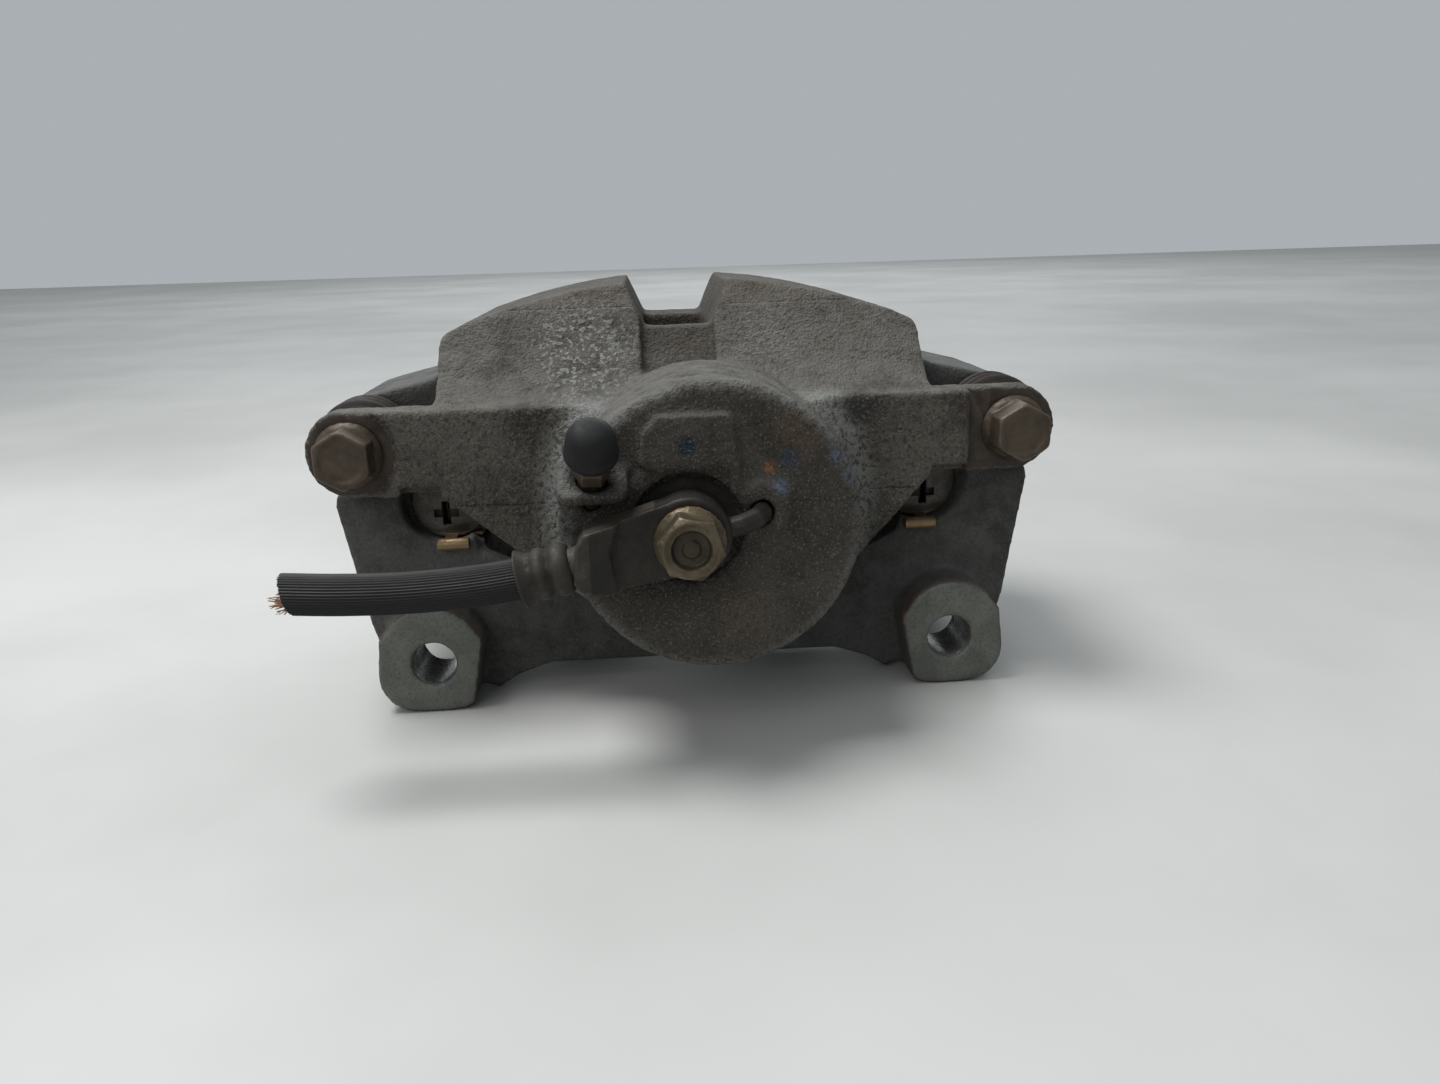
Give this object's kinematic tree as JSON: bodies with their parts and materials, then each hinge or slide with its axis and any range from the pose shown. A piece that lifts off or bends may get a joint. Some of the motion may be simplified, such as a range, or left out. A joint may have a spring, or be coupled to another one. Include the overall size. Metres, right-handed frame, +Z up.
{
  "type": "brake caliper with carrier bracket",
  "caption": "Floating single-piston brake caliper on its carrier bracket, with sliding pins, pads and a cut-off stub of hydraulic hose.",
  "frame": {"origin": "centre of the bounding box's base, on the surface that the bracket's feet stand on, in the bracket's middle plane", "axes": "+X along the bracket towards the right-hand guide pin, +Y outboard along the piston, +Z up, away from the disc's centre"},
  "size_m": [0.21, 0.154, 0.1194],
  "materials": {
    "bracket_iron": "bare cast iron, machined ear faces, light rust",
    "cast_iron": "sand-cast, dusty and lightly rusted",
    "bolt_steel": "dull plated steel with brown film",
    "yellow_zinc": "worn yellow zinc plating",
    "piston_chrome": "hard chrome, ground",
    "copper": "soft copper, tarnished",
    "spring_steel": "thin sheet steel with a brassy film",
    "black_rubber": "moulded rubber, dusty",
    "hose_rubber": "ribbed extruded rubber cover",
    "pad_steel": "black paint, worn",
    "friction_lining": "moulded friction compound",
    "braid_cord": "cut textile braid"
  },
  "bodies": {
    "bracket": {"carrier_bracket": "bracket_iron", "pad_clip_inboard_left": "spring_steel", "pad_clip_inboard_right": "spring_steel", "pad_clip_outboard_left": "spring_steel", "pad_clip_outboard_right": "spring_steel", "pin_boot_left": "black_rubber", "pin_boot_right": "black_rubber"},
    "caliper": {"caliper_housing": "cast_iron", "piston_seal": "black_rubber", "piston_dust_boot": "black_rubber", "boot_retaining_ring": "spring_steel", "guide_bolt_left": "bolt_steel", "guide_bolt_right": "bolt_steel", "guide_pin_left": "bolt_steel", "guide_pin_right": "bolt_steel", "guide_pin_bush": "black_rubber", "banjo_bolt": "yellow_zinc", "copper_washer_outer": "copper", "copper_washer_inner": "copper", "hose_fitting": "yellow_zinc", "hose_ferrule": "bolt_steel", "brake_hose": "hose_rubber", "hose_liner": "braid_cord"},
    "piston": {"piston": "piston_chrome"},
    "inboard_pad": {"inboard_pad_backing": "pad_steel", "inboard_pad_lining": "friction_lining", "inboard_pad_shim": "spring_steel", "wear_indicator": "spring_steel"},
    "outboard_pad": {"outboard_pad_backing": "pad_steel", "outboard_pad_lining": "friction_lining", "outboard_pad_shim": "spring_steel"},
    "bleed_screw": {"bleed_screw": "yellow_zinc"},
    "bleed_cap": {"bleed_cap": "black_rubber"}
  },
  "joints": [
    {"name": "caliper_slide", "type": "slide", "parent": "bracket", "child": "caliper", "axis": [0, -1, 0], "range_m": [0, 0.008]},
    {"name": "piston_travel", "type": "slide", "parent": "caliper", "child": "piston", "axis": [0, 1, 0], "range_m": [0, 0.016]},
    {"name": "inboard_pad_slide", "type": "slide", "parent": "bracket", "child": "inboard_pad", "axis": [0, 1, 0], "range_m": [0, 0.008]},
    {"name": "outboard_pad_slide", "type": "slide", "parent": "bracket", "child": "outboard_pad", "axis": [0, -1, 0], "range_m": [0, 0.008]},
    {"name": "bleed_screw_turn", "type": "hinge", "parent": "caliper", "child": "bleed_screw", "pos_m": [-0.0249, -0.0597, 0.0775], "axis": [0.06, -0.64, 0.766], "range_deg": [0, 270]},
    {"name": "bleed_cap_pull", "type": "slide", "parent": "bleed_screw", "child": "bleed_cap", "axis": [0.06, -0.64, 0.766], "range_m": [0, 0.016]}
  ],
  "couplings": [
    {"joint": "piston_travel", "follows": "caliper_slide", "ratio": 2},
    {"joint": "inboard_pad_slide", "follows": "caliper_slide", "ratio": 1},
    {"joint": "outboard_pad_slide", "follows": "caliper_slide", "ratio": 1}
  ]
}
